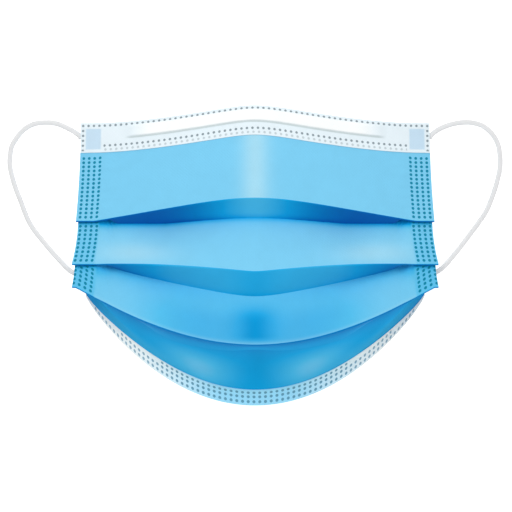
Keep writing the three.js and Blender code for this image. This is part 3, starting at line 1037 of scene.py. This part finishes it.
def stitch(x, y, rows):
    """Depth of a strip's rows of pressed dots, 0 to 1."""
    depth = np.zeros(x.shape)
    for along_at, reach, pitch, shift, strength in rows:
        step = x / pitch + shift
        one = dent((step - np.round(step)) * pitch, y - along_at)
        depth = np.maximum(depth, one * (np.abs(x) < reach) * strength)
    return depth


def nose_band():
    shares = np.linspace(-1, 1, BAND_COLUMNS)
    grid = sections(shares)[:, :RUNS[0][1]]
    outside, inside = band_paths(NOSE_BAND, NOSE_BAND.front)
    spots = np.repeat(outside[None], len(shares), 0)
    inner = np.repeat(inside[None], len(shares), 0)
    x = shares[:, None] * NOSE_HALF * np.ones(spots.shape[1])
    y = spots[..., 0]
    flap = spots[..., 1] == BAND_OUTER

    reach = WIRE.width / 2 + POCKET.margin
    near = WIRE.from_edge - reach
    far = WIRE.from_edge + reach
    foot = far + POCKET.lower_flank
    across = smooth(near - POCKET.upper_flank, near, y) * smooth(foot, far, y)
    ends = 1 - smooth(POCKET.full_to, POCKET.gone_at, np.abs(shares))[:, None]
    bulge = across * ends * flap
    ripple = np.sin(TURN * x / RIPPLE.pitch) * bell(y, RIPPLE.at, RIPPLE.spread)
    lift = POCKET.rise * bulge + RIPPLE.height * ripple * flap

    step = (y - NOSE_ROWS[0][0]) / NOSE_COLUMN.pitch
    side = dent(np.abs(x) - NOSE_COLUMN.x, (step - np.round(step)) * NOSE_COLUMN.pitch)
    side = side * (y < NOSE_COLUMN.high) * (y > NOSE_COLUMN.low)
    dimple = np.maximum(stitch(x, y, NOSE_ROWS), side) * flap
    patch = window(np.abs(x), PATCH.x) * window(y, PATCH.y) * flap
    spots[..., 1] += lift - DENT.depth * dimple - PATCH.depth * patch
    inner[..., 1] += lift

    # painted shadow in a line along the foot of the pocket, and painted highlight on the raised
    # pocket
    line = bell(y, foot, POCKET.line) * ends * flap
    white = bulge * (1 - smooth(POCKET.white_to, POCKET.white_gone, np.abs(shares)))[:, None]
    grids = (
        places(grid, spots),
        places(grid, inner),
        band_uv(x, y, spots[..., 1]),
        np.stack([white, patch, line], -1),
    )
    return shell("cloth_nose_band", *(each[:, ::-1] for each in grids))


def chin_band():
    shares = np.linspace(-1, 1, BAND_COLUMNS)
    grid = sections(shares)[:, ::-1][:, :CHIN_SECTION_ROWS]
    widths = mix(CHIN_BAND.front, CHIN_BAND.side, np.abs(shares) ** CHIN_BAND.power)
    spots, inner = (np.array(side) for side in zip(*(band_paths(CHIN_BAND, w) for w in widths)))
    # the dots are spaced by the length along the strip's outer edge
    run = run_length(places(grid, [(0, BAND_OUTER)])[:, 0, :2])
    x = (run - run[-1] / 2)[:, None] * np.ones(spots.shape[1])
    y = spots[..., 0]
    flap = spots[..., 1] == BAND_OUTER
    spots[..., 1] -= DENT.depth * stitch(x, y, CHIN_ROWS) * flap
    middle = smooth(CHIN_WHITE_AT, CHIN_BLUE_AT, np.abs(shares))[:, None] * np.ones(x.shape)
    tone = np.stack([middle, 0 * x, 0 * x], -1)
    uv = band_uv(x, y, spots[..., 1])
    return shell("cloth_chin_band", places(grid, spots), places(grid, inner), uv, tone)


def nose_wire():
    end = WIRE.half_length / NOSE_HALF
    grid = sections(np.linspace(-end, end, WIRE.columns))[:, :RUNS[0][1]]
    half = WIRE.thick / 2
    turn = angles(WIRE.sides)
    along = WIRE.from_edge + WIRE.width / 2 * signed_power(np.cos(turn), WIRE.square)
    out = BAND_INNER + half + half * signed_power(np.sin(turn), WIRE.square)
    return tube_mesh("wire_strip", places(grid, np.stack([along, out], -1))[:, ::-1])


def catmull(points, count):
    """Centripetal spline through the points, at even lengths, and how long it is."""
    p = np.asarray(points, dtype=float)
    p = np.concatenate([[2 * p[0] - p[1]], p, [2 * p[-1] - p[-2]]])
    made = []
    for i in range(len(p) - 3):
        a, b, c, d = p[i:i + 4]
        k0, k1, k2 = (math.dist(m, n) ** 0.5 for m, n in ((a, b), (b, c), (c, d)))
        t1 = ((b - a) / k0 - (c - a) / (k0 + k1) + (c - b) / k1) * k1
        t2 = ((c - b) / k1 - (d - b) / (k1 + k2) + (d - c) / k2) * k1
        t = np.linspace(0, 1, SPAN_POINTS, endpoint=i == len(p) - 4)[:, None]
        square = (-3 * b + 3 * c - 2 * t1 - t2) * t ** 2
        cube = (2 * b - 2 * c + t1 + t2) * t ** 3
        made.append(b + t1 * t + square + cube)
    made = np.concatenate(made)
    s = run_length(made)
    at = np.linspace(0, s[-1], count)
    return np.stack([np.interp(at, s, made[:, k]) for k in range(3)], -1), s[-1]


def ear_loop(name, node, points, material):
    path, length = catmull(points, LOOP_POINTS)
    tangent = np.gradient(path, axis=0)
    tangent /= np.linalg.norm(tangent, axis=1)[:, None]
    side = np.cross(tangent, np.array([0, 0, 1.0]))
    side /= np.linalg.norm(side, axis=1)[:, None]
    lift = np.cross(side, tangent)
    turn = angles(LOOP_SIDES)[None, :]
    s = np.linspace(0, length / MM, len(path))[:, None]
    round_it = KNIT.strands * turn
    along_it = TURN * s / KNIT.pitch
    knit = np.sin(round_it + along_it) * np.sin(round_it - along_it)
    radius = ELASTIC / 2 * (1 - KNIT.depth + KNIT.depth * knit)
    rings = (
        path[:, None]
        + ELASTIC_WIDEN * radius[..., None] * np.cos(turn)[..., None] * side[:, None]
        + radius[..., None] * np.sin(turn)[..., None] * lift[:, None]
    )
    uv = np.stack([turn / TURN * np.ones(knit.shape), s * np.ones(knit.shape)], -1)
    piece = tube_mesh(name, rings / MM, uv)
    finish_piece(piece, material, node)


def loop_tab(tab, side, material):
    """Flattened end of the elastic, pressed to the inner face."""
    corner = f"{tab.corner}_{'left' if side < 0 else 'right'}"
    turn = angles(TAB.sides)
    rings = []
    uv = []
    for t in np.linspace(0, 1, TAB.rings):
        column = section(side * mix(*tab.share, t))
        if tab.edge == "chin":
            column = column[::-1]
        press = float(smooth(*TAB.pressed, t))
        half = mix(ELASTIC / MM, TAB.width, press) / 2
        thick = mix(ELASTIC / MM * TAB.round_thick, TAB.thick, press) / 2
        power = mix(1.0, TAB.square, press)
        cos = signed_power(np.cos(turn), power)
        sin = signed_power(np.sin(turn), power)
        # ribs of the knit give way to the pattern of the press, on the side that shows
        ribs = TAB_RELIEF.rib * np.sin(TAB_RELIEF.ribs * turn) * (1 - press)
        pressed = TAB_RELIEF.press * press * np.sin(TAB_RELIEF.across * cos)
        pressed = pressed * math.sin(TAB_RELIEF.along * t)
        out = -BAND_INNER - thick + (thick + (ribs + pressed) * (sin < 0)) * sin
        spots = np.stack([mix(*tab.along, t) + half * cos, out], -1)
        rings.append(places(column[None, :TAB.section_rows], spots[None])[0])
        uv.append(np.stack([turn / TURN, TAB.length * t + 0 * turn], -1))
    rings = np.array(rings)
    if (side > 0) == (tab.edge == "nose"):
        rings = rings[:, ::-1]
    piece = tube_mesh(f"elastic_end_{corner}", rings, np.array(uv))
    finish_piece(piece, material, f"loop_tab_{corner}")


# Camera, floor and lights


def add_camera():
    data = bpy.data.cameras.new("camera")
    data.sensor_width = SENSOR
    data.lens = SENSOR * DISTANCE / VIEW_WIDTH
    bpy.context.scene.camera = add_to_scene("camera", data, (*AIM, DISTANCE))


def add_floor():
    reach, z = FLOOR.reach, FLOOR.z
    corners = [(x * reach, y * reach, z) for x, y in ((-1, -1), (1, -1), (1, 1), (-1, 1))]
    mesh = bpy.data.meshes.new("floor")
    mesh.from_pydata(corners, [], [(0, 1, 2, 3)])
    look = bpy.data.materials.new("floor_look")
    look.use_nodes = True
    set_inputs(look.node_tree.nodes["Principled BSDF"], {
        "Base Color": (*[FLOOR.grey] * 3, 1),
        "Roughness": FLOOR.roughness,
        "Emission Color": (1, 1, 1, 1),
        "Emission Strength": FLOOR.glow,
    })
    mesh.materials.append(look)
    add_to_scene("floor", mesh)


def add_world():
    world = bpy.data.worlds.new("world")
    bpy.context.scene.world = world
    world.use_nodes = True
    sky = world.node_tree.nodes["Background"]
    set_inputs(sky, {"Color": (1, 1, 1, 1), "Strength": WORLD_LIGHT})


def add_light(light):
    data = bpy.data.lights.new(light.name, "AREA")
    data.shape = "DISK"
    data.size = light.size
    data.energy = light.power
    lamp = add_to_scene(light.name, data, light.where)
    dx, dy, dz = np.subtract(LIGHT_AIM, light.where)
    lamp.rotation_euler = (math.atan2(math.hypot(dx, dy), -dz), 0, math.atan2(-dx, dy))


add_camera()

elastic = elastic_cloth()
ear_loop("elastic_left", "ear_loop_left", LOOP_LEFT, elastic)
ear_loop("elastic_right", "ear_loop_right", LOOP_RIGHT, elastic)

body = pleated_body()
finish_piece(body, blue_cloth(), "pleated_body")

strip_top = nose_band()
finish_piece(strip_top, nose_cloth(), "nose_band")

strip_chin = chin_band()
finish_piece(strip_chin, chin_cloth(), "chin_band")

finish_piece(nose_wire(), coated_wire(), "nose_wire")
for tab in TABS:
    for side in (-1, 1):
        loop_tab(tab, side, elastic)

add_floor()
add_world()
for light in LIGHTS:
    add_light(light)

scene = bpy.context.scene
scene.view_settings.view_transform = "Standard"
scene.view_settings.look = "None"

bpy.context.view_layer.update()
